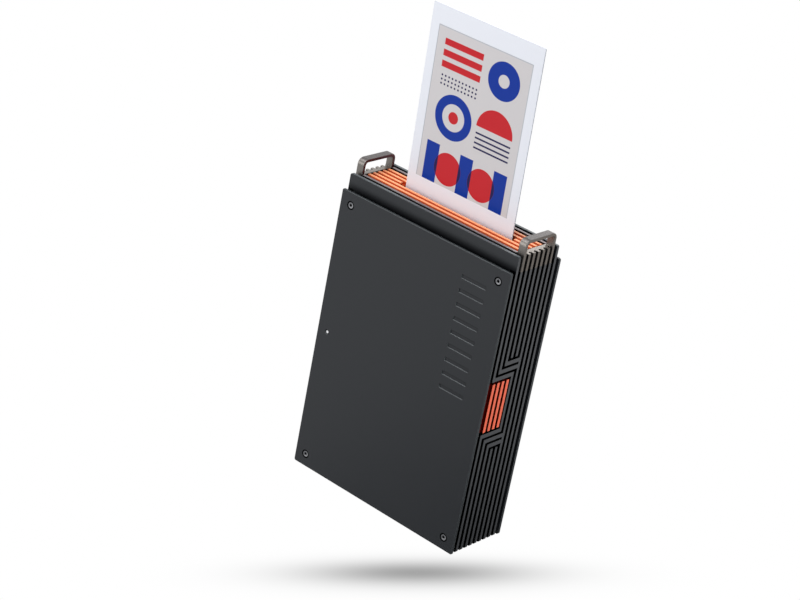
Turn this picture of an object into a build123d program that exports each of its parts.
"""Pocket instant photo printer: a finned case, an orange exit grille, two strap loops, a hinged
film door at the back, and the film transport inside. +Z is up, -Y is the front, +X is the right."""

import os
from math import atan2, cos, degrees, radians, sin, sqrt, tan

from build123d import *

# Plates and fins: eleven plates stand side by side across the depth
PITCH = 2.9
RIB = 1.3
PLATE_COUNT = 11
GROOVE_DEPTH = 2.6
WALL = 1.4
FIRST_CORE = 3
LAST_FRONT = 7

# Film sheet that the printer is built round
PRINT_W = 54.0
PRINT_H = 86.0
PRINT_T = 0.5
PRINT_CORNER = 0.8
PRINT_X = 1.9

# Outside of the case: the room beside and above the film, and the panels' overhang
CASE_SIDE = 15.8
CASE_LOW = 15.0
CASE_HIGH = 26.6
PANEL_OVER = 0.3
PANEL_T = 0.9
PANEL_STEP = 6.0
PANEL_CORNER = 0.8
SHELL_CORNER = 0.8
EDGE = 0.2

# Clearances
SLIP = 0.05
PLAY = 0.3
FIT = 0.02
SEAT_GAP = 0.2
TURN = 360.0

# Front panel details
SCREW_INSET_X = 5.4
SCREW_INSET_Z = 5.3
SCREW_SHANK_R = 0.95
SCREW_LENGTH = 6.0
SCREW_HEAD_R = 1.35
SCREW_HEAD_H = 0.45
SCREW_POCKET_R = 1.7
SCREW_POCKET_D = 0.55
HEX_R = 0.75
HEX_D = 0.3
HEX_SIDES = 6
BOSS_R = 2.0
LAMP_INSET = 4.8
LAMP_DROP = 2.8
LAMP_R = 0.95
LAMP_SINK = 0.25
BAR_LENGTH = 12.0
BAR_INSET = 10.1
BAR_TOP = 9.6
BAR_FIELD = 48.0
BAR_W = 1.5
BAR_COUNT = 9
BAR_DEPTH = 0.35

# Side button
BUTTON_H = 20.8
BUTTON_LAST = 5
BUTTON_GAP = 1.0
BUTTON_PROUD = 0.1
BUTTON_BASE = 0.8
BUTTON_RIB = 1.0
BUTTON_TRAVEL = 0.7
STEM_R = 1.4
STEM_REACH = 0.65
LEG_W = 3.0
LEG_T = 0.8
LEG_HOOK = 0.5
LEG_OFFSET = 7.0
BUTTON_FINS = 4
BUTTON_FIN_W = 1.45
BUTTON_FIN_PITCH = 2.8

# Labyrinth: widths of the horizontal grooves and the fins between them
BEND_GROOVE = 1.1
BEND_FIN = 1.7
BENDS = 3

# Strap loops
LOOP_RISE = 6.0
LOOP_STRIP = 1.35
LOOP_WIDTH = 3.4
LOOP_CORNER = 2.6
COMB_H = 6.7
COMB_DEPTH = 1.6
FLANGE_REACH = 3.4
FLANGE_T = 1.4
FLANGE_W = 14.0
HANDLE_SCREW_R = 0.8
HANDLE_SCREW_HEAD = 1.2
HANDLE_SCREW_Y = 5.0
HANDLE_SCREW_H = 0.8

# Top frame and exit grille
FRAME_DROP = 4.0
FRAME_T = 1.3
LEDGE = 1.0
RAIL_W = 1.1
GRILLE_FLOOR = 1.1
SLOT_SIDE = 1.8
SLOT_FRONT = -0.725
SLOT_BACK = 2.1

# Place and lean of the finished print
PRINT_Y = 0.8
PRINT_HOLD = 2.62
LEAN = 3.0

# Pinch rollers and gears
NIP_DROP = 7.6
NIP_CLEARANCE = 0.12
ROLLER_R = 2.5
SHAFT_R = 1.2
ROLLER_OVER = 1.0
ROLLER_TEETH = 12
IDLER_TEETH = 20
PINION_TEETH = 10
TRAIN_ANGLE = 253.6
PRESSURE_ANGLE = 25.0
ADDENDUM = 0.8
DEDENDUM = 1.1
BACKLASH = 0.1
GEAR_T = 2.2
GEAR_GAP = 1.1
SHAFT_OVER = 0.2
BUSH_R = 1.98
BUSH_OVER = 0.5

# Brackets, motor and print head
BRACKET_T = 1.0
BRACKET_GAP_LEFT = 0.8
BRACKET_GAP_RIGHT = 0.7
BRACKET_FRONT = -10.6
BRACKET_BACK = 7.4
BRACKET_H = 24.6
BRACKET_H_RIGHT = 14.6
MOTOR_R = 4.6
MOTOR_LENGTH = 17.9
MOTOR_NOSE_R = 1.5
MOTOR_SHAFT_R = 0.75
MOTOR_SHAFT_IN = 0.7
IDLER_PIN_R = 0.8
IDLER_COLLAR_R = 1.6
HEAD_DEPTH = 6.6
HEAD_BACK = -2.0
HEAD_DROP = 9.2
HEAD_H = 5.8
LENS_H = 1.6
LENS_DEPTH = 1.3

# Film pack and its tray
PACK_SIDE = 4.0
PACK_FRONT = -0.5
PACK_BACK = 11.6
PACK_OVER = 12.0
PACK_WALL = 1.0
PACK_ROOM = 0.5
PACK_EXIT = 2.0
STACK_T = 6.0
PACK_FRAME = 5.0
PACK_NOTCH = 2.0
TRAY_FRONT = -2.2
TRAY_T = 1.5
TRAY_UNDER = 3.0
TRAY_SHORT = 15.0
TRAY_SIDE = 0.8
TRAY_SIDE_H = 10.0
CLAW_T = 0.4
CLAW_W = 3.0
CLAW_Y = 0.2
CLAW_UNDER = 1.0
CLAW_LENGTH = 80.0
CLAW_HOOK = 1.4
CLAW_TRAVEL = 4.0
CLAW_ROOM = 0.8

# Electronics
BOARD_GAP = 0.95
BOARD_T = 1.0
BOARD_GAP_LEFT = 0.4
BOARD_GAP_RIGHT = 2.8
BOARD_GAP_LOW = 9.0
BOARD_GAP_HIGH = 1.0
CHIP = 1.0
BATTERY_LEFT = -12.0
BATTERY_W = 38.0
BATTERY_LOW = 24.0
BATTERY_H = 66.0
BATTERY_T = 6.2
BATTERY_CORNER = 0.9
PAD_T = 0.3
USB_W = 9.0
USB_H = 3.2
USB_LENGTH = 6.6
USB_RISE = 5.1
USB_WALL = 0.3
SWITCH_SIZE = 3.5
SWITCH_GAP = 1.8
PLUNGER_R = 0.8
PLUNGER = 0.3

# Shell screws
LONG_INSET_LEFT = 4.3
LONG_INSET_RIGHT = 2.6
LONG_INSET_LOW = 5.5
LONG_INSET_HIGH = 28.9
LONG_SHANK = 12.0
LONG_HEAD_R = 1.6
LONG_HEAD_SINK = 1.0

# Film door, hinge and latch
LIP_T = 0.825
LIP_INSET = 2.9
SEAL_T = 0.6
SEAL_W = 1.2
SEAL_EDGE = 0.3
HINGE_INSET = 1.2
HINGE_R = 1.2
HINGE_PIN_R = 0.55
HINGE_LENGTH = 14.0
HINGE_KNUCKLE = 4.0
HINGE_LOW = 8.0
HINGE_TOP = 7.6
OPENING_MARGIN = 0.5
LATCH_INSET = 7.1
LATCH_TRAVEL = 3.0
LATCH_PAD_W = 5.0
LATCH_PAD_H = 9.0
LATCH_PAD_T = 0.6
LATCH_FLUSH = 0.1
LATCH_STEM_W = 1.4
LATCH_STEM_H = 3.0
LATCH_HEAD_W = 2.8
LATCH_HEAD_T = 1.2
LATCH_HEAD_GAP = 0.275
SPRING_T = 0.2
SPRING_W = 6.0
SPRING_LENGTH = 60.0
SPRING_BOW = 0.97
SPRING_SPREAD = 15.0

# Places that follow from the sizes above
PACK_LOW = CASE_LOW
PACK_HIGH = PACK_LOW + PRINT_H + PACK_OVER
SHELL_W = PRINT_W + 2 * CASE_SIDE
SHELL_H = CASE_LOW + PRINT_H + CASE_HIGH
PANEL_W = SHELL_W + 2 * PANEL_OVER
PANEL_H = SHELL_H - PANEL_STEP
HALF = SHELL_W / 2
CORE = HALF - GROOVE_DEPTH
CAVITY = CORE - WALL
CORE_LOW = GROOVE_DEPTH
CAVITY_LOW = GROOVE_DEPTH + WALL
MIDDLE_Z = SHELL_H / 2
SCREW_X = PANEL_W / 2 - SCREW_INSET_X
SCREW_LOW = SCREW_INSET_Z
SCREW_HIGH = PANEL_H - SCREW_INSET_Z
LAMP_X = LAMP_INSET - HALF
LAMP_Z = MIDDLE_Z - LAMP_DROP
BAR_RIGHT = PANEL_W / 2 - BAR_INSET
BAR_LEFT = BAR_RIGHT - BAR_LENGTH
BAR_HIGH = PANEL_H - BAR_TOP
BAR_LOW = BAR_HIGH - BAR_FIELD
STEM_END = CAVITY - STEM_REACH
LOOP_TOP = SHELL_H + LOOP_RISE
COMB_LOW = SHELL_H - COMB_H
FRAME_LOW = SHELL_H - FRAME_DROP
SLOT_LEFT = PRINT_X - PRINT_W / 2 - SLOT_SIDE
SLOT_RIGHT = PRINT_X + PRINT_W / 2 + SLOT_SIDE
NIP_Z = SHELL_H - NIP_DROP
PACK_HALF_W = PRINT_W / 2 + PACK_SIDE
PACK_SIDES = (PRINT_X - PACK_HALF_W, PRINT_X + PACK_HALF_W)
BRACKET_LEFT = PACK_SIDES[0] - BRACKET_GAP_LEFT - BRACKET_T
BRACKET_RIGHT = PACK_SIDES[1] + BRACKET_GAP_RIGHT
BRACKET_LOW = FRAME_LOW - BRACKET_H
BRACKET_LOW_RIGHT = FRAME_LOW - BRACKET_H_RIGHT
GEAR_OUT = GEAR_GAP + GEAR_T - BRACKET_LEFT
HEAD_LOW = NIP_Z - HEAD_DROP
TRAY_LOW = PACK_LOW - TRAY_UNDER
TRAY_HIGH = PACK_HIGH - TRAY_SHORT
CLAW_LOW = PACK_LOW - CLAW_UNDER
CLAW_HIGH = CLAW_LOW + CLAW_LENGTH
BOARD_LEFT = BOARD_GAP_LEFT - CAVITY
BOARD_RIGHT = CAVITY - BOARD_GAP_RIGHT
BOARD_LOW = CAVITY_LOW + BOARD_GAP_LOW
BOARD_HIGH = BRACKET_LOW - BOARD_GAP_HIGH
USB_Z = BOARD_LOW + USB_RISE
SWITCH_FACE = CAVITY - SWITCH_GAP
LONG_BOSS_LEFT = LONG_INSET_LEFT - CAVITY
LONG_BOSS_RIGHT = CAVITY - LONG_INSET_RIGHT
LONG_BOSS_LOW = CAVITY_LOW + LONG_INSET_LOW
LONG_BOSS_HIGH = COMB_LOW - LONG_INSET_HIGH
HINGE_HIGH = PANEL_H - HINGE_TOP - HINGE_LENGTH
LATCH_X = PANEL_W / 2 - LATCH_INSET
LATCH_Z = PANEL_H / 2


def plate(k):
    """Middle of plate k across the depth, counted from the front."""
    return (k - (PLATE_COUNT + 1) / 2) * PITCH


def plate_span(k):
    """Front and back face of plate k."""
    return plate(k) - RIB / 2, plate(k) + RIB / 2


def groove_span(k):
    """Front and back side of the groove behind plate k."""
    return plate(k) + RIB / 2, plate(k + 1) - RIB / 2


BACK = PLATE_COUNT
LAST = PLATE_COUNT - 1
PARTING = (groove_span(LAST_FRONT)[0] + groove_span(LAST_FRONT)[1]) / 2
FRONT_IN = plate_span(2)[1]
REAR_IN = plate_span(LAST)[0]
FRAME_TOP = FRAME_LOW + FRAME_T
BOARD_FRONT = FRONT_IN + BOARD_GAP
BOARD_BACK = BOARD_FRONT + BOARD_T
BUTTON_Y = (groove_span(1)[0] + plate_span(BUTTON_LAST + 1)[0]) / 2
BUTTON_TIP = HALF + BUTTON_PROUD
LOOP_OUT = HALF
LOOP_IN = HALF - LOOP_WIDTH
FRAME_HALF_W = LOOP_IN - SEAT_GAP
GRILLE_HALF_W = FRAME_HALF_W - SEAT_GAP


def block(x, y, z, mode=Mode.ADD):
    """Add or cut the block between two corners, given as a low and a high value on each axis."""
    with BuildSketch(Plane.XY.offset(z[0])) as outline:
        with Locations(((x[0] + x[1]) / 2, (y[0] + y[1]) / 2)):
            Rectangle(x[1] - x[0], y[1] - y[0])
    extrude(outline.sketch, amount=z[1] - z[0], mode=mode)


def slab(x, y, z, corner, mode=Mode.ADD):
    """Add or cut an upright plate with rounded corners, seen from the front."""
    with BuildSketch(Plane.XZ.offset(-y[1])) as outline:
        with Locations(((x[0] + x[1]) / 2, (z[0] + z[1]) / 2)):
            RectangleRounded(x[1] - x[0], z[1] - z[0], corner)
    extrude(outline.sketch, amount=y[1] - y[0], mode=mode)


def rod(start, along, radius, length, mode=Mode.ADD):
    """Add or cut a round rod from a point along a direction."""
    with BuildSketch(Plane(origin=start, z_dir=along)) as disc:
        Circle(radius)
    extrude(disc.sketch, amount=length, mode=mode)


def finish(builder, name):
    """Label a piece and write its file."""
    builder.part.label = name
    export_step(builder.part, f"parts/{name}.step")


os.makedirs("parts", exist_ok=True)

PANEL_SCREWS = [(x, z) for x in (-SCREW_X, SCREW_X) for z in (SCREW_LOW, SCREW_HIGH)]
LONG_SCREWS = [(x, z) for x in (LONG_BOSS_LEFT, LONG_BOSS_RIGHT) for z in (LONG_BOSS_LOW, LONG_BOSS_HIGH)]

# Front panel: a flat plate with four screw pockets, the lamp hole and a row of plain sunk bars
PANEL_FACE = plate_span(1)[0]
PANEL_BACK = PANEL_FACE + PANEL_T
with BuildPart() as front_panel:
    slab((-PANEL_W / 2, PANEL_W / 2), (PANEL_FACE, PANEL_BACK), (0, PANEL_H), PANEL_CORNER)
    chamfer(front_panel.faces().sort_by(Axis.Y)[0].edges(), EDGE)
    for x, z in PANEL_SCREWS:
        rod((x, PANEL_FACE, z), (0, 1, 0), SCREW_POCKET_R, SCREW_POCKET_D, Mode.SUBTRACT)
        rod((x, PANEL_FACE, z), (0, 1, 0), SCREW_SHANK_R + SLIP, PANEL_T, Mode.SUBTRACT)
    rod((LAMP_X, PANEL_FACE, LAMP_Z), (0, 1, 0), LAMP_R + SLIP, PANEL_T, Mode.SUBTRACT)
    for i in range(BAR_COUNT):
        low = BAR_LOW + i * (BAR_HIGH - BAR_LOW - BAR_W) / (BAR_COUNT - 1)
        block((BAR_LEFT, BAR_RIGHT), (PANEL_FACE, PANEL_FACE + BAR_DEPTH), (low, low + BAR_W), Mode.SUBTRACT)
finish(front_panel, "front_panel")

# Screws that hold the front panel
HEAD_SEAT = PANEL_FACE + SCREW_POCKET_D
with BuildPart() as panel_screws:
    for x, z in PANEL_SCREWS:
        rod((x, HEAD_SEAT, z), (0, -1, 0), SCREW_HEAD_R, SCREW_HEAD_H)
        rod((x, HEAD_SEAT, z), (0, 1, 0), SCREW_SHANK_R, SCREW_LENGTH)
        with BuildSketch(Plane(origin=(x, HEAD_SEAT - SCREW_HEAD_H, z), z_dir=(0, 1, 0))) as socket:
            RegularPolygon(HEX_R, HEX_SIDES)
        extrude(socket.sketch, amount=HEX_D, mode=Mode.SUBTRACT)
finish(panel_screws, "panel_screws")


def fins(first, last):
    """Add fins from one plate to another, each a rounded plate over the whole outline."""
    for k in range(first, last + 1):
        slab((-HALF, HALF), plate_span(k), (0, SHELL_H), SHELL_CORNER)


def hollow(front, back):
    """Cut the room inside the walls and everything above them between two depths."""
    block((-CAVITY, CAVITY), (front, back), (CAVITY_LOW, SHELL_H), Mode.SUBTRACT)
    block((-HALF, HALF), (front, back), (COMB_LOW, SHELL_H), Mode.SUBTRACT)


def bend(i):
    """Distance of horizontal groove i of the labyrinth from the button's middle, near and far side."""
    near = BUTTON_H / 2 + BUTTON_GAP + BEND_FIN + i * (BEND_FIN + BEND_GROOVE)
    return near, near + BEND_GROOVE


# Front shell: the face behind the panel, the front half of the walls and fins, and the labyrinth
BEND_OUT = bend(BENDS - 1)[1]
FRAME_LEDGE = (BRACKET_LEFT + BRACKET_T + PLAY, BRACKET_RIGHT - PLAY)
with BuildPart() as front_shell:
    block((-CORE, CORE), (FRONT_IN, PARTING), (CORE_LOW, COMB_LOW))
    fins(FIRST_CORE, LAST_FRONT)
    block((CORE, HALF), (FRONT_IN, plate_span(LAST_FRONT)[1]), (MIDDLE_Z - BEND_OUT, MIDDLE_Z + BEND_OUT))
    hollow(FRONT_IN, PARTING)
    slab((-CORE, CORE), (PANEL_BACK, plate_span(2)[0]), (CORE_LOW, PANEL_H - GROOVE_DEPTH), EDGE)
    slab((-HALF, HALF), plate_span(2), (0, SHELL_H), SHELL_CORNER)
    pocket_h = BUTTON_H / 2 + BUTTON_GAP
    pocket_z = (MIDDLE_Z - pocket_h, MIDDLE_Z + pocket_h)
    block((CORE, HALF), (PANEL_BACK, groove_span(BUTTON_LAST)[1]), pocket_z, Mode.SUBTRACT)
    behind_z = (MIDDLE_Z - bend(0)[1], MIDDLE_Z + bend(0)[1])
    block((CORE, HALF), groove_span(BUTTON_LAST + 1), behind_z, Mode.SUBTRACT)
    for i in range(BENDS):
        near, far = bend(i)
        across = (groove_span(i + 2)[0], groove_span(BUTTON_LAST + 1)[1])
        for low, high in ((MIDDLE_Z + near, MIDDLE_Z + far), (MIDDLE_Z - far, MIDDLE_Z - near)):
            block((CORE, HALF), across, (low, high), Mode.SUBTRACT)
        column = groove_span(i + 2)
        block((CORE, HALF), column, (MIDDLE_Z + near, MIDDLE_Z + BEND_OUT), Mode.SUBTRACT)
        block((CORE, HALF), column, (MIDDLE_Z - BEND_OUT, MIDDLE_Z - near), Mode.SUBTRACT)
    for x, z in PANEL_SCREWS:
        tip = HEAD_SEAT + SCREW_LENGTH
        rod((x, FRONT_IN, z), (0, 1, 0), BOSS_R, tip + WALL - FRONT_IN)
        rod((x, PANEL_BACK, z), (0, 1, 0), SCREW_SHANK_R + SLIP, tip + PLAY - PANEL_BACK, Mode.SUBTRACT)
    for x, z in LONG_SCREWS:
        rod((x, FRONT_IN, z), (0, 1, 0), BOSS_R, PARTING - FRONT_IN)
        rod((x, PARTING, z), (0, -1, 0), SCREW_SHANK_R + SLIP, LONG_SHANK, Mode.SUBTRACT)
    rod((LAMP_X, PANEL_BACK, LAMP_Z), (0, 1, 0), LAMP_R + SLIP, FRONT_IN - PANEL_BACK, Mode.SUBTRACT)
    rod((CAVITY, BUTTON_Y, MIDDLE_Z), (1, 0, 0), STEM_R + PLAY, WALL, Mode.SUBTRACT)
    for side in (-1, 1):
        leg_z = MIDDLE_Z + side * LEG_OFFSET
        hole_y = (BUTTON_Y - LEG_W / 2 - PLAY, BUTTON_Y + LEG_W / 2 + PLAY)
        block((CAVITY, CORE), hole_y, (leg_z - LEG_T / 2 - PLAY, leg_z + LEG_T / 2 + PLAY), Mode.SUBTRACT)
    usb_y = (BOARD_BACK - USB_WALL, BOARD_BACK + USB_H + USB_WALL)
    usb_z = (USB_Z - USB_W / 2 - USB_WALL, USB_Z + USB_W / 2 + USB_WALL)
    block((-HALF, -CAVITY), usb_y, usb_z, Mode.SUBTRACT)
    block(FRAME_LEDGE, (FRONT_IN, FRONT_IN + LEDGE), (FRAME_LOW - LEDGE, FRAME_LOW))
finish(front_shell, "front_shell")

# Rear shell: the back half of the walls and fins, with the film opening, keyhole and hinge knuckles
REAR_FACE = plate_span(LAST)[1]
HINGE_X = -PANEL_W / 2 + HINGE_INSET
HINGE_Y = plate_span(BACK)[1] - HINGE_R - SEAT_GAP / 2
HINGE_GROUPS = (HINGE_LOW, HINGE_HIGH)


def knuckle_spans(low):
    """Lower and upper end of the two case knuckles of a hinge that starts at a height."""
    return (low, low + HINGE_KNUCKLE), (low + HINGE_LENGTH - HINGE_KNUCKLE, low + HINGE_LENGTH)


with BuildPart() as rear_shell:
    block((-CORE, CORE), (PARTING, REAR_IN), (CORE_LOW, COMB_LOW))
    fins(LAST_FRONT + 1, LAST - 1)
    hollow(PARTING, REAR_IN)
    slab((-HALF, HALF), plate_span(LAST), (0, SHELL_H), SHELL_CORNER)
    opening_x = (PACK_SIDES[0] - OPENING_MARGIN, PACK_SIDES[1] + OPENING_MARGIN)
    opening_z = (PACK_LOW - OPENING_MARGIN, PACK_HIGH + OPENING_MARGIN)
    slab(opening_x, plate_span(LAST), opening_z, PACK_WALL, Mode.SUBTRACT)
    for x, z in LONG_SCREWS:
        rod((x, PARTING, z), (0, 1, 0), BOSS_R, REAR_IN - PARTING)
        rod((x, PARTING, z), (0, 1, 0), SCREW_SHANK_R + SLIP, REAR_FACE - PARTING, Mode.SUBTRACT)
        rod((x, REAR_FACE, z), (0, -1, 0), LONG_HEAD_R + SLIP, LONG_HEAD_SINK, Mode.SUBTRACT)
    head_x = LATCH_HEAD_W / 2 + PLAY + SEAT_GAP
    head_z = LATCH_STEM_H / 2 + PLAY
    stem_x = LATCH_STEM_W / 2 + PLAY
    keyhole_x = (LATCH_X - head_x, LATCH_X + head_x)
    block(keyhole_x, plate_span(LAST), (LATCH_Z - head_z, LATCH_Z + head_z), Mode.SUBTRACT)
    keyhole_top = LATCH_Z + head_z + LATCH_TRAVEL
    block((LATCH_X - stem_x, LATCH_X + stem_x), plate_span(LAST), (LATCH_Z, keyhole_top), Mode.SUBTRACT)
    for low in HINGE_GROUPS:
        for start, end in knuckle_spans(low):
            rod((HINGE_X, HINGE_Y, start), (0, 0, 1), HINGE_R, end - start)
            block((HINGE_X - HINGE_R / 2, HINGE_X + HINGE_R / 2), (REAR_FACE, HINGE_Y), (start, end))
            rod((HINGE_X, HINGE_Y, start), (0, 0, 1), HINGE_PIN_R + SLIP, end - start, Mode.SUBTRACT)
    block(FRAME_LEDGE, (REAR_IN - LEDGE, REAR_IN), (FRAME_LOW - LEDGE, FRAME_LOW))
finish(rear_shell, "rear_shell")

# Screws that hold the two shells together, hidden under the film door
with BuildPart() as shell_screws:
    for x, z in LONG_SCREWS:
        seat = REAR_FACE - LONG_HEAD_SINK
        rod((x, seat, z), (0, 1, 0), LONG_HEAD_R, SCREW_HEAD_H)
        rod((x, seat, z), (0, -1, 0), SCREW_SHANK_R, seat - PARTING + LONG_SHANK - PLAY)
finish(shell_screws, "shell_screws")

# Top frame: the dark floor round the grille, with a thin rail at each side of it
SLOT = (SLOT_LEFT, SLOT_RIGHT)
with BuildPart() as top_frame:
    block((-FRAME_HALF_W, FRAME_HALF_W), (FRONT_IN, REAR_IN), (FRAME_LOW, FRAME_TOP))
    for k in (FIRST_CORE, LAST - 1):
        rail = (plate(k) - RAIL_W / 2, plate(k) + RAIL_W / 2)
        block((-FRAME_HALF_W, FRAME_HALF_W), rail, (FRAME_TOP, SHELL_H))
    way = (SLOT_LEFT - PLAY, SLOT_RIGHT + PLAY)
    block(way, (SLOT_FRONT - LEDGE, SLOT_BACK + LEDGE), (FRAME_LOW, FRAME_TOP), Mode.SUBTRACT)
    for side in (-1, 1):
        screw_x = side * (LOOP_IN - FLANGE_REACH / 2)
        for y in (-HANDLE_SCREW_Y, HANDLE_SCREW_Y):
            rod((screw_x, y, FRAME_LOW), (0, 0, 1), HANDLE_SCREW_R + SLIP, FRAME_T, Mode.SUBTRACT)
finish(top_frame, "top_frame")

# Exit grille: five orange fins over a floor, with the slot that the print comes out of
GRILLE_Y = (groove_span(FIRST_CORE)[0] + SEAT_GAP / 2, groove_span(LAST - 2)[1] - SEAT_GAP / 2)
with BuildPart() as exit_grille:
    block((-GRILLE_HALF_W, GRILLE_HALF_W), GRILLE_Y, (FRAME_TOP, FRAME_TOP + GRILLE_FLOOR))
    for k in range(FIRST_CORE + 1, LAST - 1):
        block((-GRILLE_HALF_W, GRILLE_HALF_W), plate_span(k), (FRAME_TOP, SHELL_H))
    block(SLOT, (SLOT_FRONT, SLOT_BACK), (FRAME_TOP, SHELL_H), Mode.SUBTRACT)
finish(exit_grille, "exit_grille")


def handle(side):
    """Strap loop over a comb of fins, with a flange under the top frame; side is -1 left or 1 right."""
    outer = plate_span(LAST - 1)[1]
    with BuildPart() as loop:
        with BuildSketch(Plane.YZ.offset(LOOP_IN)) as profile:
            with Locations((0, (COMB_LOW + LOOP_TOP) / 2)):
                Rectangle(2 * outer, LOOP_TOP - COMB_LOW)
            fillet(profile.vertices().group_by(Axis.Y)[-1], LOOP_CORNER)
            with Locations((0, (SHELL_H + LOOP_TOP - LOOP_STRIP) / 2)):
                Rectangle(2 * (outer - LOOP_STRIP), LOOP_TOP - LOOP_STRIP - SHELL_H, mode=Mode.SUBTRACT)
            inner = profile.vertices().filter_by_position(Axis.Y, SHELL_H, LOOP_TOP - LOOP_STRIP + SLIP)
            fillet(inner.group_by(Axis.Y)[-1], LOOP_CORNER - LOOP_STRIP)
        extrude(profile.sketch, amount=LOOP_WIDTH)
        above = loop.edges().filter_by(lambda e: e.center().Z > SHELL_H + SLIP)
        chamfer(above.filter_by(lambda e: abs(e.tangent_at(0).X) < SLIP), EDGE)
        for k in range(FIRST_CORE, LAST - 1):
            low, high = groove_span(k)
            bottom = LOOP_OUT - COMB_DEPTH + (high - low) / 2
            with BuildSketch(Plane.XY.offset(COMB_LOW)) as cut:
                with Locations((bottom, (low + high) / 2)):
                    Circle((high - low) / 2)
                with Locations(((bottom + LOOP_OUT) / 2, (low + high) / 2)):
                    Rectangle(LOOP_OUT - bottom, high - low)
            extrude(cut.sketch, amount=SHELL_H - COMB_LOW, mode=Mode.SUBTRACT)
        flange_x = (LOOP_IN - FLANGE_REACH, LOOP_IN)
        block(flange_x, (-FLANGE_W / 2, FLANGE_W / 2), (FRAME_LOW - FLANGE_T, FRAME_LOW))
        for y in (-HANDLE_SCREW_Y, HANDLE_SCREW_Y):
            start = (LOOP_IN - FLANGE_REACH / 2, y, FRAME_LOW - FLANGE_T)
            rod(start, (0, 0, 1), HANDLE_SCREW_R + SLIP, FLANGE_T, Mode.SUBTRACT)
        if side < 0:
            mirror(about=Plane.YZ, mode=Mode.REPLACE)
    return loop


for name, side in (("handle_left", -1), ("handle_right", 1)):
    finish(handle(side), name)

# Screws from below through each handle's flange into the top frame
with BuildPart() as handle_screws:
    for side in (-1, 1):
        for y in (-HANDLE_SCREW_Y, HANDLE_SCREW_Y):
            start = (side * (LOOP_IN - FLANGE_REACH / 2), y, FRAME_LOW - FLANGE_T)
            rod(start, (0, 0, -1), HANDLE_SCREW_HEAD, HANDLE_SCREW_H)
            rod(start, (0, 0, 1), HANDLE_SCREW_R, FLANGE_T + FRAME_T)
finish(handle_screws, "handle_screws")

# Side button: an orange cap with four fins, a stem to the switch and two snap legs
BUTTON_BACK_X = BUTTON_TIP - BUTTON_RIB - BUTTON_BASE
BUTTON_Y_SPAN = (PANEL_BACK + PLAY, plate_span(BUTTON_LAST + 1)[0] - BUTTON_GAP)
BUTTON_Z_SPAN = (MIDDLE_Z - BUTTON_H / 2, MIDDLE_Z + BUTTON_H / 2)
with BuildPart() as side_button:
    block((BUTTON_BACK_X, BUTTON_BACK_X + BUTTON_BASE), BUTTON_Y_SPAN, BUTTON_Z_SPAN)
    for i in range(BUTTON_FINS):
        fin_back = BUTTON_Y_SPAN[1] - i * BUTTON_FIN_PITCH
        block((BUTTON_BACK_X, BUTTON_TIP), (fin_back - BUTTON_FIN_W, fin_back), BUTTON_Z_SPAN)
    rod((BUTTON_BACK_X, BUTTON_Y, MIDDLE_Z), (-1, 0, 0), STEM_R, BUTTON_BACK_X - STEM_END)
    for side in (-1, 1):
        leg_z = MIDDLE_Z + side * LEG_OFFSET
        leg_y = (BUTTON_Y - LEG_W / 2, BUTTON_Y + LEG_W / 2)
        block((STEM_END, BUTTON_BACK_X), leg_y, (leg_z - LEG_T / 2, leg_z + LEG_T / 2))
        hook = sorted((leg_z, leg_z + side * (LEG_T / 2 + LEG_HOOK)))
        block((STEM_END, CAVITY - SEAT_GAP), leg_y, hook)
finish(side_button, "side_button")

# Lamp: a clear pipe from the board to the panel
with BuildPart() as light_pipe:
    rod((LAMP_X, PANEL_FACE + LAMP_SINK, LAMP_Z), (0, 1, 0), LAMP_R, FRONT_IN - PANEL_FACE - LAMP_SINK)
finish(light_pipe, "light_pipe")

# Main board with the lamp chip, notched round the long bosses
with BuildPart() as main_board:
    block((BOARD_LEFT, BOARD_RIGHT), (BOARD_FRONT, BOARD_BACK), (BOARD_LOW, BOARD_HIGH))
    for x, z in LONG_SCREWS:
        rod((x, BOARD_FRONT, z), (0, 1, 0), BOSS_R + SLIP, BOARD_T, Mode.SUBTRACT)
    chip_x = (LAMP_X - CHIP / 2 + SLIP, LAMP_X + CHIP / 2 + SLIP)
    block(chip_x, (FRONT_IN + SLIP, BOARD_FRONT), (LAMP_Z - CHIP / 2, LAMP_Z + CHIP / 2))
finish(main_board, "main_board")

# Battery on its foam pad
BATTERY_X = (BATTERY_LEFT, BATTERY_LEFT + BATTERY_W)
BATTERY_Z = (BATTERY_LOW, BATTERY_LOW + BATTERY_H)
BATTERY_Y = (BOARD_BACK + PAD_T, BOARD_BACK + PAD_T + BATTERY_T)
with BuildPart() as battery_pad:
    block(BATTERY_X, (BOARD_BACK, BOARD_BACK + PAD_T), BATTERY_Z)
finish(battery_pad, "battery_pad")
with BuildPart() as battery:
    block(BATTERY_X, BATTERY_Y, BATTERY_Z)
    fillet(battery.edges().filter_by(Axis.Z), BATTERY_CORNER)
finish(battery, "battery")

# Charging socket in the left wall
with BuildPart() as usb_socket:
    with BuildSketch(Plane.YZ.offset(-CORE)) as shell_outline:
        with Locations((BOARD_BACK + USB_H / 2, USB_Z)):
            RectangleRounded(USB_H, USB_W, USB_H / 2 - SLIP)
    extrude(amount=USB_LENGTH)
    with BuildSketch(Plane.YZ.offset(-CORE)) as mouth:
        with Locations((BOARD_BACK + USB_H / 2, USB_Z)):
            RectangleRounded(USB_H - 2 * USB_WALL, USB_W - 2 * USB_WALL, USB_H / 2 - USB_WALL - SLIP)
    extrude(amount=USB_LENGTH - WALL, mode=Mode.SUBTRACT)
    tongue_y = (BOARD_BACK + USB_H / 2 - USB_WALL, BOARD_BACK + USB_H / 2 + USB_WALL)
    tongue_z = (USB_Z - USB_W / 4, USB_Z + USB_W / 4)
    block((-CORE + WALL, -CORE + USB_LENGTH - WALL), tongue_y, tongue_z)
finish(usb_socket, "usb_socket")

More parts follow.
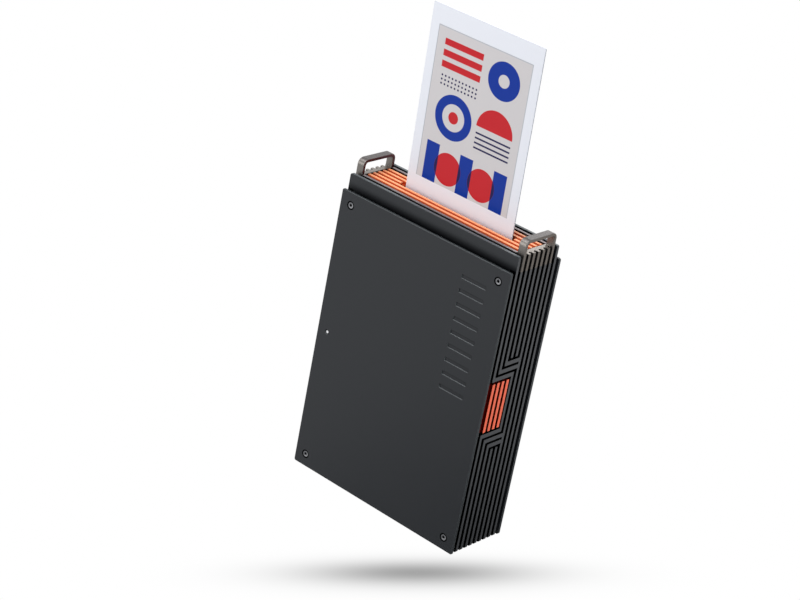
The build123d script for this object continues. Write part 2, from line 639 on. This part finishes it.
# Switch behind the button
with BuildPart() as tact_switch:
    switch_z = (MIDDLE_Z - SWITCH_SIZE / 2, MIDDLE_Z + SWITCH_SIZE / 2)
    block((SWITCH_FACE - SWITCH_SIZE, SWITCH_FACE), (BOARD_BACK, BUTTON_Y + SWITCH_SIZE / 2), switch_z)
    rod((SWITCH_FACE, BUTTON_Y, MIDDLE_Z), (1, 0, 0), PLUNGER_R, PLUNGER)
finish(tact_switch, "tact_switch")

# Tray that guides the film pack
TRAY_BACK = TRAY_FRONT + TRAY_T
with BuildPart() as pack_frame:
    block((-CAVITY + PLAY, CAVITY - PLAY), (TRAY_FRONT, TRAY_BACK), (TRAY_LOW, TRAY_HIGH))
    for x in (PACK_SIDES[0] - CLAW_ROOM - TRAY_SIDE, PACK_SIDES[1] + PLAY):
        block((x, x + TRAY_SIDE), (TRAY_BACK, TRAY_BACK + TRAY_SIDE_H), (TRAY_LOW, TRAY_HIGH))
    for x, z in LONG_SCREWS:
        rod((x, TRAY_FRONT, z), (0, 1, 0), BOSS_R + SLIP, TRAY_T, Mode.SUBTRACT)
finish(pack_frame, "pack_frame")

# Film pack: an open-fronted box with an exit gap at the top, and the sheets in it
STACK_FRONT = PACK_FRONT + PACK_WALL + PACK_ROOM
STACK_LOW = PACK_LOW + PACK_WALL + PACK_ROOM
with BuildPart() as film_pack:
    block(PACK_SIDES, (PACK_FRONT, PACK_BACK), (PACK_LOW, PACK_HIGH))
    inner_x = (PACK_SIDES[0] + PACK_WALL, PACK_SIDES[1] - PACK_WALL)
    inner_y = (PACK_FRONT + PACK_WALL, PACK_BACK - PACK_WALL)
    block(inner_x, inner_y, (PACK_LOW + PACK_WALL, PACK_HIGH - PACK_WALL), Mode.SUBTRACT)
    window_z = (STACK_LOW + PACK_FRAME, STACK_LOW + PRINT_H - PACK_FRAME)
    window_x = (PRINT_X - PRINT_W / 2 + PACK_FRAME, PRINT_X + PRINT_W / 2 - PACK_FRAME)
    block(window_x, (PACK_FRONT, PACK_FRONT + PACK_WALL), window_z, Mode.SUBTRACT)
    exit_x = (PRINT_X - PRINT_W / 2 - PACK_ROOM, PRINT_X + PRINT_W / 2 + PACK_ROOM)
    exit_y = (inner_y[0], inner_y[0] + PACK_EXIT)
    block(exit_x, exit_y, (PACK_HIGH - PACK_WALL, PACK_HIGH), Mode.SUBTRACT)
    notch_x = (PACK_SIDES[0], PACK_SIDES[0] + PACK_NOTCH)
    notch_z = (PACK_LOW, PACK_LOW + CLAW_TRAVEL + PACK_NOTCH)
    block(notch_x, (PACK_FRONT, STACK_FRONT + PACK_WALL), notch_z, Mode.SUBTRACT)
finish(film_pack, "film_pack")
with BuildPart() as film_stack:
    stack_x = (PRINT_X - PRINT_W / 2, PRINT_X + PRINT_W / 2)
    stack_low = PACK_LOW + PACK_WALL
    block(stack_x, (inner_y[0], inner_y[0] + STACK_T), (stack_low, stack_low + PRINT_H))
finish(film_stack, "film_stack")

# Claw that pushes the front sheet up into the rollers
CLAW_X = PACK_SIDES[0] - CLAW_ROOM + PLAY / 2
with BuildPart() as eject_claw:
    block((CLAW_X, CLAW_X + CLAW_T), (CLAW_Y, CLAW_Y + CLAW_W), (CLAW_LOW, CLAW_HIGH))
    hook_low = PACK_LOW + SEAT_GAP
    block((CLAW_X, CLAW_X + CLAW_T + CLAW_HOOK), (CLAW_Y, CLAW_Y + CLAW_T), (hook_low, hook_low + CLAW_HOOK))
finish(eject_claw, "eject_claw")


def meshed(phase, teeth, next_teeth):
    """Phase of the next gear of the train, so that a gap of it faces a tooth of the one before."""
    half_step = TURN / 2 / next_teeth
    return TRAIN_ANGLE + TURN / 2 - (phase - TRAIN_ANGLE) * teeth / next_teeth + half_step


# Pinch rollers: their centres stand square to the leaning print, either side of it
NIP_Y = PRINT_Y + (SHELL_H - NIP_Z) * tan(radians(LEAN))
HALF_GAP = ROLLER_R + PRINT_T / 2 + NIP_CLEARANCE
FRONT_AXIS = (NIP_Y - HALF_GAP * cos(radians(LEAN)), NIP_Z - HALF_GAP * sin(radians(LEAN)))
REAR_AXIS = (NIP_Y + HALF_GAP * cos(radians(LEAN)), NIP_Z + HALF_GAP * sin(radians(LEAN)))
MODULE = 2 * HALF_GAP / ROLLER_TEETH
TRAIN = (cos(radians(TRAIN_ANGLE)), sin(radians(TRAIN_ANGLE)))
IDLER_STEP = MODULE * (ROLLER_TEETH + IDLER_TEETH) / 2
PINION_STEP = MODULE * (IDLER_TEETH + PINION_TEETH) / 2
IDLER_AXIS = (FRONT_AXIS[0] + IDLER_STEP * TRAIN[0], FRONT_AXIS[1] + IDLER_STEP * TRAIN[1])
PINION_AXIS = (IDLER_AXIS[0] + PINION_STEP * TRAIN[0], IDLER_AXIS[1] + PINION_STEP * TRAIN[1])
PHASE_FRONT = LEAN
PHASE_REAR = PHASE_FRONT + (1 + 1 / ROLLER_TEETH) * TURN / 2
PHASE_IDLER = meshed(PHASE_FRONT, ROLLER_TEETH, IDLER_TEETH)
PHASE_PINION = meshed(PHASE_IDLER, IDLER_TEETH, PINION_TEETH)
BRACKET_LEFT_SPAN = (BRACKET_LEFT, BRACKET_LEFT + BRACKET_T)
BRACKET_RIGHT_SPAN = (BRACKET_RIGHT, BRACKET_RIGHT + BRACKET_T)


def involute(base, radius):
    """Polar angle in degrees of the involute of a base circle at a radius."""
    roll = sqrt((radius / base) ** 2 - 1)
    return degrees(roll - atan2(roll, 1))


def gear(centre, teeth, phase, bore):
    """Spur gear with involute flanks; its first tooth points along the phase angle in the YZ plane."""
    pitch_r = MODULE * teeth / 2
    base = pitch_r * cos(radians(PRESSURE_ANGLE))
    tip = pitch_r + ADDENDUM * MODULE
    root = pitch_r - DEDENDUM * MODULE
    start = max(base, root)
    radii = (start, (start + tip) / 2, tip)
    half_tooth = TURN / 4 / teeth * (1 - BACKLASH)

    def flank(radius, side, angle):
        """Point of a flank at a radius, on one side of the middle of the tooth at an angle."""
        turn = radians(angle + side * (half_tooth + involute(base, pitch_r) - involute(base, radius)))
        return centre[0] + radius * cos(turn), centre[1] + radius * sin(turn)

    with BuildPart() as wheel:
        with BuildSketch(Plane.YZ.offset(-GEAR_OUT)) as outline:
            with Locations(centre):
                Circle(root)
            for i in range(teeth):
                with BuildLine():
                    angle = phase + i * TURN / teeth
                    rise = [flank(radius, -1, angle) for radius in radii]
                    fall = [flank(radius, 1, angle) for radius in reversed(radii)]
                    Polyline(centre, *rise, *fall, close=True)
                make_face()
            with Locations(centre):
                Circle(bore, mode=Mode.SUBTRACT)
        extrude(amount=GEAR_T)
    return wheel


# The two pinch rollers, each a steel shaft, a rubber sleeve and a gear
SLEEVE = (PRINT_X - PRINT_W / 2 - ROLLER_OVER, PRINT_X + PRINT_W / 2 + ROLLER_OVER)
SHAFT_START = -GEAR_OUT - SHAFT_OVER
SHAFT_END = BRACKET_RIGHT_SPAN[1] + BUSH_OVER
for name, axis, phase in (("front", FRONT_AXIS, PHASE_FRONT), ("rear", REAR_AXIS, PHASE_REAR)):
    with BuildPart() as shaft:
        rod((SHAFT_START, *axis), (1, 0, 0), SHAFT_R, SHAFT_END - SHAFT_START)
    finish(shaft, f"{name}_roller_shaft")
    with BuildPart() as sleeve:
        rod((SLEEVE[0], *axis), (1, 0, 0), ROLLER_R, SLEEVE[1] - SLEEVE[0])
        rod((SLEEVE[0], *axis), (1, 0, 0), SHAFT_R + FIT, SLEEVE[1] - SLEEVE[0], Mode.SUBTRACT)
    finish(sleeve, f"{name}_roller_sleeve")
    finish(gear(axis, ROLLER_TEETH, phase, SHAFT_R + FIT), f"{name}_roller_gear")

# Idler gear on its fixed pin, and the pinion with the motor's shaft
finish(gear(IDLER_AXIS, IDLER_TEETH, PHASE_IDLER, IDLER_PIN_R + SLIP), "idler_gear")
with BuildPart() as idler_pin:
    rod((SHAFT_START, *IDLER_AXIS), (1, 0, 0), IDLER_PIN_R, BRACKET_LEFT_SPAN[1] - SHAFT_START)
    collar = -GEAR_OUT + GEAR_T + SLIP
    rod((collar, *IDLER_AXIS), (1, 0, 0), IDLER_COLLAR_R, BRACKET_LEFT - collar)
finish(idler_pin, "idler_pin")
with BuildPart() as motor_pinion:
    add(gear(PINION_AXIS, PINION_TEETH, PHASE_PINION, MOTOR_SHAFT_R).part)
    shaft_end = BRACKET_LEFT_SPAN[1] + MOTOR_SHAFT_IN
    rod((SHAFT_START, *PINION_AXIS), (1, 0, 0), MOTOR_SHAFT_R, shaft_end - SHAFT_START)
finish(motor_pinion, "motor_pinion")
with BuildPart() as motor:
    rod((BRACKET_LEFT_SPAN[1], *PINION_AXIS), (1, 0, 0), MOTOR_R, MOTOR_LENGTH)
    rod((BRACKET_LEFT, *PINION_AXIS), (1, 0, 0), MOTOR_NOSE_R, BRACKET_T)
    hole = BRACKET_T + MOTOR_SHAFT_IN + SEAT_GAP
    rod((BRACKET_LEFT, *PINION_AXIS), (1, 0, 0), MOTOR_SHAFT_R + SLIP, hole, Mode.SUBTRACT)
finish(motor, "motor")

# Side brackets that carry the bushes, and on the left the motor and the idler pin
with BuildPart() as bracket_left:
    block(BRACKET_LEFT_SPAN, (BRACKET_FRONT, BRACKET_BACK), (BRACKET_LOW, FRAME_LOW))
    holes = {FRONT_AXIS: BUSH_R, REAR_AXIS: BUSH_R, IDLER_AXIS: IDLER_PIN_R, PINION_AXIS: MOTOR_NOSE_R}
    for axis, radius in holes.items():
        rod((BRACKET_LEFT, *axis), (1, 0, 0), radius + FIT, BRACKET_T, Mode.SUBTRACT)
finish(bracket_left, "bracket_left")
with BuildPart() as bracket_right:
    block(BRACKET_RIGHT_SPAN, (BRACKET_FRONT, BRACKET_BACK), (BRACKET_LOW_RIGHT, FRAME_LOW))
    for axis in (FRONT_AXIS, REAR_AXIS):
        rod((BRACKET_RIGHT, *axis), (1, 0, 0), BUSH_R + FIT, BRACKET_T, Mode.SUBTRACT)
finish(bracket_right, "bracket_right")
with BuildPart() as roller_bushes:
    for axis in (FRONT_AXIS, REAR_AXIS):
        for start in (BRACKET_LEFT - BUSH_OVER, BRACKET_RIGHT):
            rod((start, *axis), (1, 0, 0), BUSH_R, BRACKET_T + BUSH_OVER)
            rod((start, *axis), (1, 0, 0), SHAFT_R + SLIP, BRACKET_T + BUSH_OVER, Mode.SUBTRACT)
finish(roller_bushes, "roller_bushes")

# Print head across the brackets, with its lens bar
HEAD_X = (BRACKET_LEFT_SPAN[1], BRACKET_RIGHT)
with BuildPart() as print_head:
    block(HEAD_X, (HEAD_BACK - HEAD_DEPTH, HEAD_BACK), (HEAD_LOW, HEAD_LOW + HEAD_H))
finish(print_head, "print_head")
with BuildPart() as lens_bar:
    lens_low = HEAD_LOW + (HEAD_H - LENS_H) / 2
    block((SLEEVE[0], SLEEVE[1]), (HEAD_BACK, HEAD_BACK + LENS_DEPTH), (lens_low, lens_low + LENS_H))
finish(lens_bar, "lens_bar")

# The finished print, leaning through the slot
LEAN_COS = cos(radians(LEAN))
LEAN_SIN = sin(radians(LEAN))
with BuildPart() as print_sheet:
    above = PRINT_H - PRINT_HOLD - NIP_DROP / LEAN_COS
    leaning = Plane(origin=(PRINT_X, PRINT_Y, SHELL_H), x_dir=(1, 0, 0), z_dir=(0, -LEAN_COS, -LEAN_SIN))
    with BuildSketch(leaning):
        with Locations((0, above - PRINT_H / 2)):
            RectangleRounded(PRINT_W, PRINT_H, PRINT_CORNER)
    extrude(amount=PRINT_T / 2, both=True)
finish(print_sheet, "print")

# Film door: a panel with an inner lip, cut away round the case's hinge knuckles, and the latch recess
DOOR_IN, DOOR_OUT = plate_span(BACK)
LIP_HALF = PANEL_W / 2 - LIP_INSET - SEAT_GAP
KNUCKLE_CLEAR = HINGE_R + PLAY
LATCH_SLOT_W = LATCH_STEM_W + 2 * PLAY
LATCH_PAD_SINK = LATCH_PAD_T + LATCH_FLUSH + SEAT_GAP
with BuildPart() as film_door:
    slab((-PANEL_W / 2, PANEL_W / 2), (DOOR_IN, DOOR_OUT), (0, PANEL_H), PANEL_CORNER)
    chamfer(film_door.faces().sort_by(Axis.Y)[-1].edges(), EDGE)
    slab((-LIP_HALF, LIP_HALF), (DOOR_IN - LIP_T, DOOR_IN), (CORE_LOW + PLAY, PANEL_H - GROOVE_DEPTH), EDGE)
    for low in HINGE_GROUPS:
        (start, first_end), (second_start, end) = knuckle_spans(low)
        for z in ((start - PLAY, first_end + PLAY), (second_start - PLAY, end + PLAY)):
            block((-PANEL_W / 2, HINGE_X + KNUCKLE_CLEAR), (DOOR_IN - LIP_T, DOOR_OUT), z, Mode.SUBTRACT)
        door_z = (first_end + PLAY, second_start - PLAY)
        door_h = door_z[1] - door_z[0]
        rod((HINGE_X, HINGE_Y, door_z[0]), (0, 0, 1), HINGE_R, door_h)
        rod((HINGE_X, HINGE_Y, door_z[0]), (0, 0, 1), HINGE_PIN_R + SLIP, door_h, Mode.SUBTRACT)
    pad_x = (LATCH_X - LATCH_PAD_W / 2 - PLAY, LATCH_X + LATCH_PAD_W / 2 + PLAY)
    pad_z = (LATCH_Z - LATCH_PAD_H / 2 - PLAY, LATCH_Z + LATCH_PAD_H / 2 + LATCH_TRAVEL + PLAY)
    block(pad_x, (DOOR_OUT - LATCH_PAD_SINK, DOOR_OUT), pad_z, Mode.SUBTRACT)
    slot_z = (LATCH_Z - LATCH_STEM_H / 2 - PLAY, LATCH_Z + LATCH_STEM_H / 2 + LATCH_TRAVEL + PLAY)
    slot_x = (LATCH_X - LATCH_SLOT_W / 2, LATCH_X + LATCH_SLOT_W / 2)
    block(slot_x, (DOOR_IN - LIP_T, DOOR_OUT), slot_z, Mode.SUBTRACT)
finish(film_door, "film_door")

# Pins of the two hinges, fixed in the case knuckles
with BuildPart() as hinge_pins:
    for low in HINGE_GROUPS:
        rod((HINGE_X, HINGE_Y, low), (0, 0, 1), HINGE_PIN_R, HINGE_LENGTH)
finish(hinge_pins, "hinge_pins")

# Foam seal on the door round the film opening
SEAL_BACK = DOOR_IN - LIP_T
with BuildPart() as door_seal:
    seal_x = (opening_x[0] - SEAL_EDGE - SEAL_W, opening_x[1] + SEAL_EDGE + SEAL_W)
    seal_z = (opening_z[0] - SEAL_EDGE - SEAL_W, opening_z[1] + SEAL_EDGE + SEAL_W)
    block(seal_x, (SEAL_BACK - SEAL_T, SEAL_BACK), seal_z)
    hole_x = (seal_x[0] + SEAL_W, seal_x[1] - SEAL_W)
    block(hole_x, (SEAL_BACK - SEAL_T, SEAL_BACK), (seal_z[0] + SEAL_W, seal_z[1] - SEAL_W), Mode.SUBTRACT)
finish(door_seal, "door_seal")

# Two bowed leaf springs on the door that press on the film pack
SPRING_Z = (PACK_LOW + PACK_HIGH) / 2
with BuildPart() as pressure_springs:
    for side in (-1, 1):
        middle = PRINT_X + side * SPRING_SPREAD
        with BuildSketch(Plane.YZ.offset(middle - SPRING_W / 2)) as leaf:
            with BuildLine():
                low, high = SPRING_Z - SPRING_LENGTH / 2, SPRING_Z + SPRING_LENGTH / 2
                face = SEAL_BACK - SPRING_T
                ThreePointArc((SEAL_BACK, low), (SEAL_BACK - SPRING_BOW, SPRING_Z), (SEAL_BACK, high))
                Line((SEAL_BACK, high), (face, high))
                ThreePointArc((face, high), (face - SPRING_BOW, SPRING_Z), (face, low))
                Line((face, low), (SEAL_BACK, low))
            make_face()
        extrude(amount=SPRING_W)
finish(pressure_springs, "pressure_springs")

# Door latch: a thumb pad in the recess, a stem through door and case, and a head behind the keyhole
PAD_OUT = DOOR_OUT - LATCH_FLUSH
HEAD_OUT = REAR_IN - LATCH_HEAD_GAP
with BuildPart() as door_latch:
    pad_span = (LATCH_Z - LATCH_PAD_H / 2, LATCH_Z + LATCH_PAD_H / 2)
    latch_pad_x = (LATCH_X - LATCH_PAD_W / 2, LATCH_X + LATCH_PAD_W / 2)
    block(latch_pad_x, (PAD_OUT - LATCH_PAD_T, PAD_OUT), pad_span)
    stem_span = (LATCH_Z - LATCH_STEM_H / 2, LATCH_Z + LATCH_STEM_H / 2)
    latch_stem_x = (LATCH_X - LATCH_STEM_W / 2, LATCH_X + LATCH_STEM_W / 2)
    block(latch_stem_x, (HEAD_OUT - LATCH_HEAD_T, PAD_OUT), stem_span)
    latch_head_x = (LATCH_X - LATCH_HEAD_W / 2, LATCH_X + LATCH_HEAD_W / 2)
    block(latch_head_x, (HEAD_OUT - LATCH_HEAD_T, HEAD_OUT), stem_span)
finish(door_latch, "door_latch")
